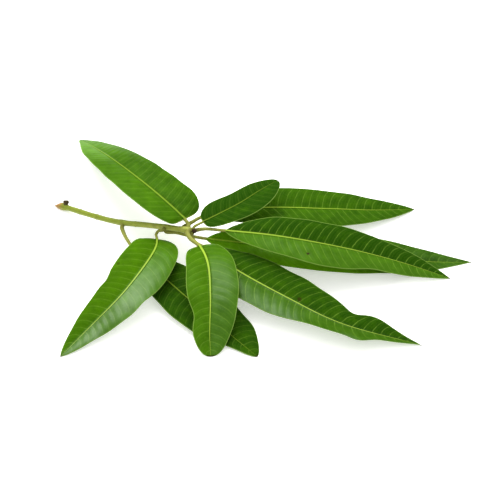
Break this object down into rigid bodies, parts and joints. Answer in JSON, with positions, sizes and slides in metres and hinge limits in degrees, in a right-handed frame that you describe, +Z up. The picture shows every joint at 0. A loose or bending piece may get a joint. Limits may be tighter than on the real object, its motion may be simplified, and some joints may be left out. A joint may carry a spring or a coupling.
{
  "type": "mango leaf sprig",
  "caption": "Cut mango twig lying flat with a resting bud at its end and long glossy green leaves spread around it on short petioles.",
  "frame": {"origin": "middle of the sprig's footprint, on the surface that it lies on", "axes": "+X along the twig from its cut end towards the leafy end, +Y across the sprig towards the long back leaf, +Z up"},
  "size_m": [0.3798, 0.3084, 0.0441],
  "materials": {
    "leaf_blade": "glossy waxy green leaf with pale yellow-green midrib and side veins",
    "twig_bark": "smooth young yellow-green bark, brown at the cut end",
    "bud_scale": "matte dark brown bud scales"
  },
  "bodies": {
    "root": {"twig": "twig_bark", "terminal_bud": "bud_scale", "leaf_back_left": "leaf_blade", "leaf_small_upper": "leaf_blade", "leaf_back_right": "leaf_blade", "leaf_right_upper": "leaf_blade", "leaf_right_lower": "leaf_blade", "leaf_front_right": "leaf_blade", "leaf_front_middle": "leaf_blade", "leaf_front_lower": "leaf_blade", "leaf_front_left": "leaf_blade"}
  },
  "joints": []
}
